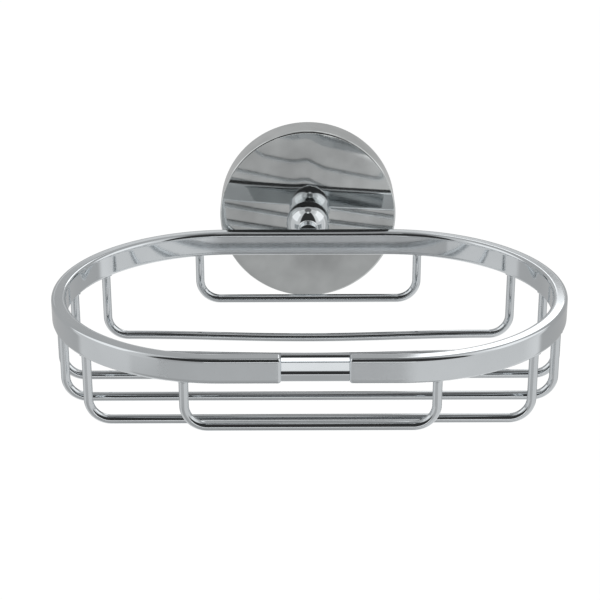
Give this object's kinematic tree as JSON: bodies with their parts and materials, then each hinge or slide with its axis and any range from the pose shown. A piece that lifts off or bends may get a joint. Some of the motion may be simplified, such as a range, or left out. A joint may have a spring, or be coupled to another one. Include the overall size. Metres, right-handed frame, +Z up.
{
  "type": "wall soap holder",
  "caption": "Chromed wire basket soap holder: an oval flat-band rim with U-shaped wires under it, carried by a turned ball post on a round wall rosette.",
  "frame": {"origin": "middle of the wall plate's rear face, on the axis of the rosette and of the ball post", "axes": "+Y into the wall, +Z up, +X to the right as one looks at the wall; the basket stands out towards -Y"},
  "size_m": [0.1422, 0.1458, 0.0548],
  "materials": {
    "rosette_chrome": "bright polished chrome plate",
    "post_chrome": "bright polished chrome plate",
    "rim_chrome": "bright chrome plate with faint drawing lines",
    "joiner_chrome": "bright polished chrome plate",
    "wire_chrome": "bright chrome plate with faint drawing lines",
    "plate_zinc": "raw die-cast zinc, fine grained",
    "screw_steel": "bright zinc plated steel",
    "bolt_steel": "plain stainless steel",
    "washer_steel": "zinc plated steel",
    "grub_steel": "plain stainless steel",
    "plug_nylon": "grey moulded nylon"
  },
  "bodies": {
    "root": {"rosette_cup": "rosette_chrome", "wall_plate": "plate_zinc", "wall_screw_left": "screw_steel", "wall_screw_right": "screw_steel", "wall_plug_left": "plug_nylon", "wall_plug_right": "plug_nylon", "grub_screw": "grub_steel", "post_bolt": "bolt_steel", "flat_washer": "washer_steel", "lock_washer": "washer_steel", "ball_post": "post_chrome", "rim_band": "rim_chrome", "rim_joiner": "joiner_chrome", "basket_wire_1": "wire_chrome", "basket_wire_2": "wire_chrome", "basket_wire_3": "wire_chrome", "basket_wire_4": "wire_chrome", "basket_wire_5": "wire_chrome", "basket_wire_6": "wire_chrome", "basket_wire_7": "wire_chrome"}
  },
  "joints": []
}
